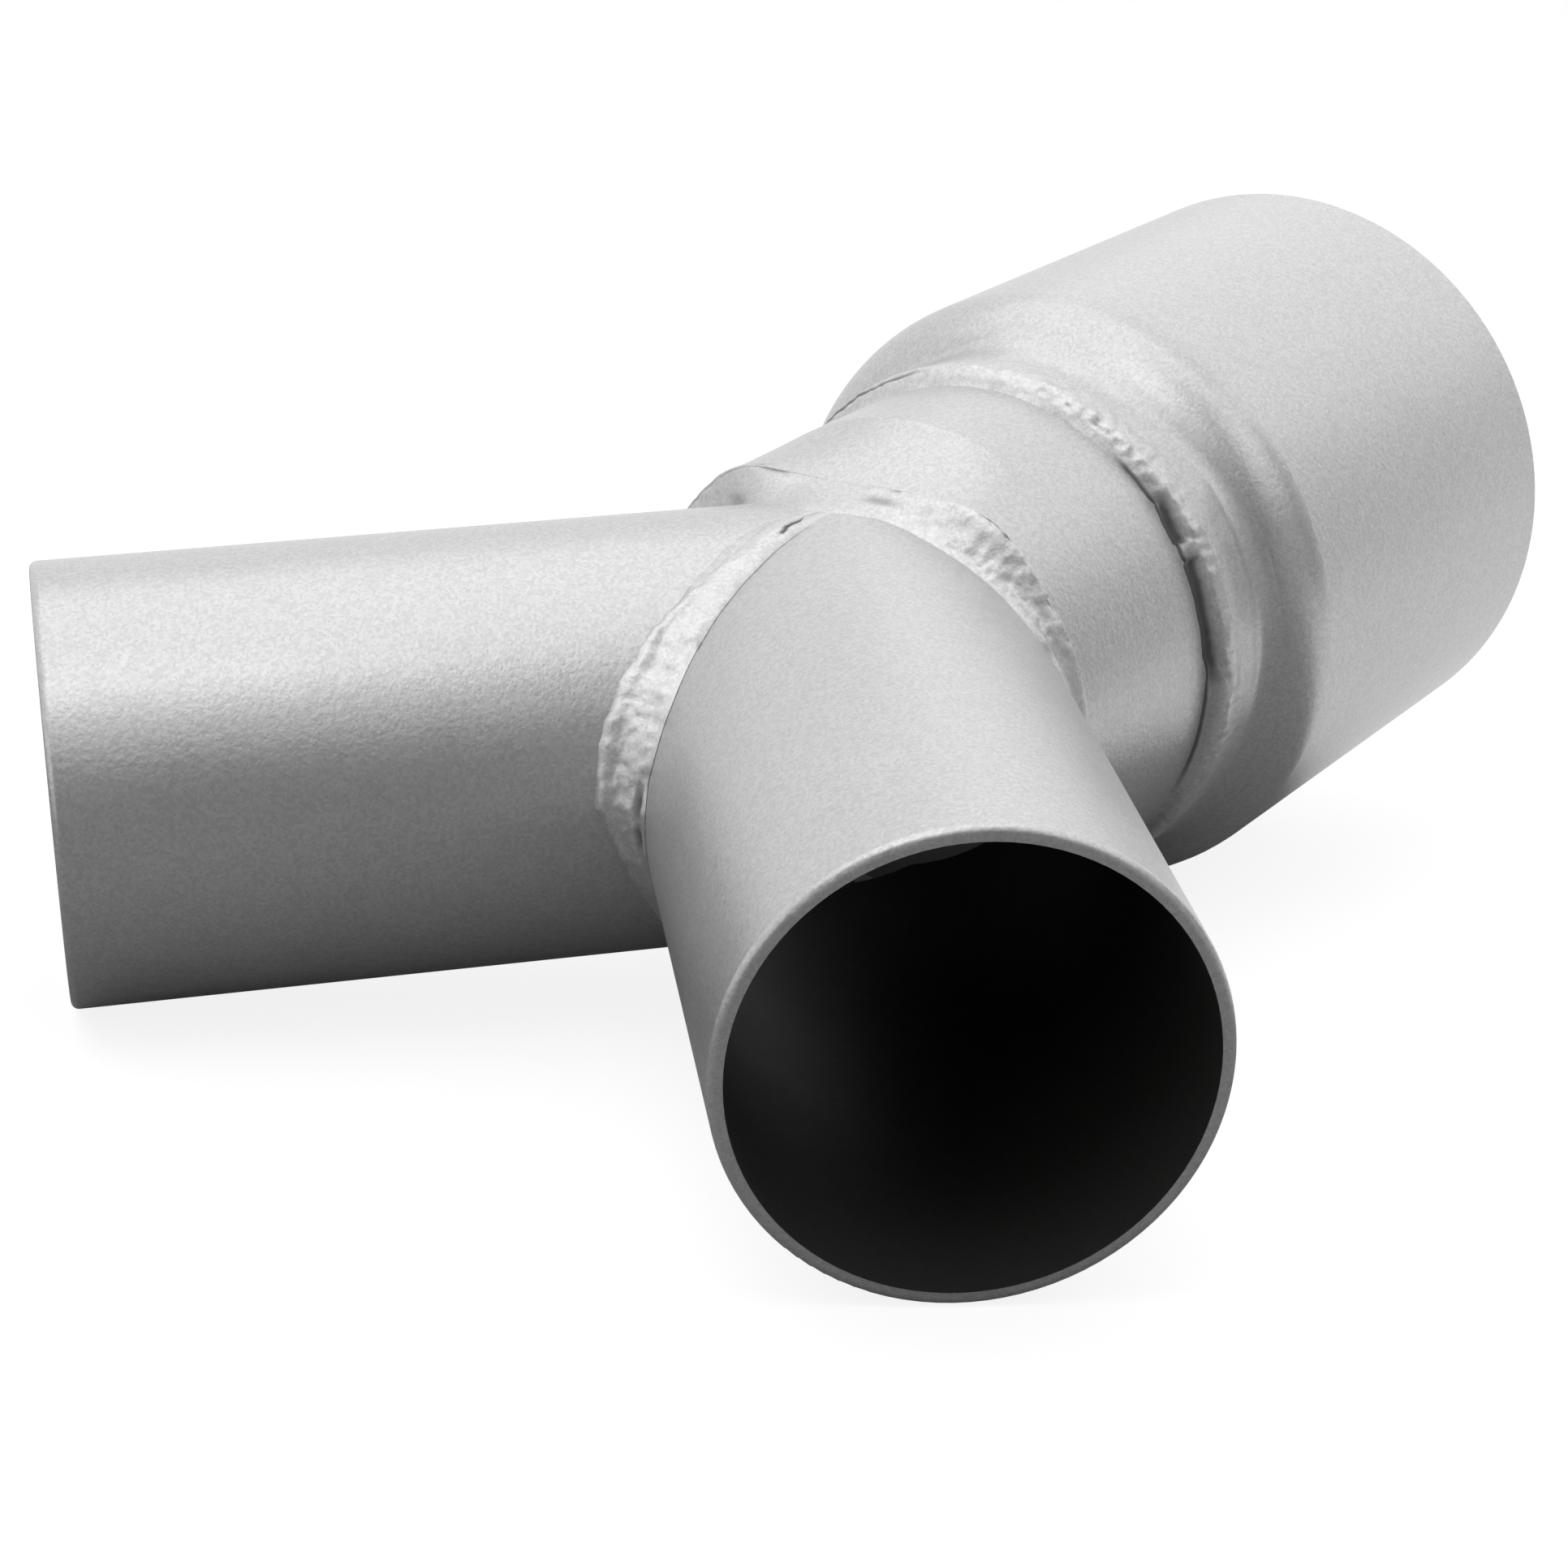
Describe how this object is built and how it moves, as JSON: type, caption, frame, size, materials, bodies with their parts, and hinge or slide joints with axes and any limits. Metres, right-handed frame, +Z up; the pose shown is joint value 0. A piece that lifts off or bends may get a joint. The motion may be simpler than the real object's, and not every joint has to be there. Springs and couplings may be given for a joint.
{
  "type": "y pipe connector",
  "caption": "Welded steel Y pipe connector: two equal branch tubes join in a pressed collector tube that widens into a larger round outlet.",
  "frame": {"origin": "on the floor, under the middle of the pipe's box", "axes": "+X towards the outlet, whose axis rises by about 6.5 degrees as the pipe lies; +Y towards the left branch; +Z up"},
  "size_m": [0.2012, 0.1596, 0.0846],
  "materials": {
    "silver_paint": "semi-matt silver heat-resistant paint on steel"
  },
  "bodies": {
    "root": {"left_branch": "silver_paint", "right_branch": "silver_paint", "collector_tube": "silver_paint", "outlet_reducer": "silver_paint", "crotch_weld": "silver_paint", "collector_weld": "silver_paint", "outlet_weld": "silver_paint"}
  },
  "joints": []
}
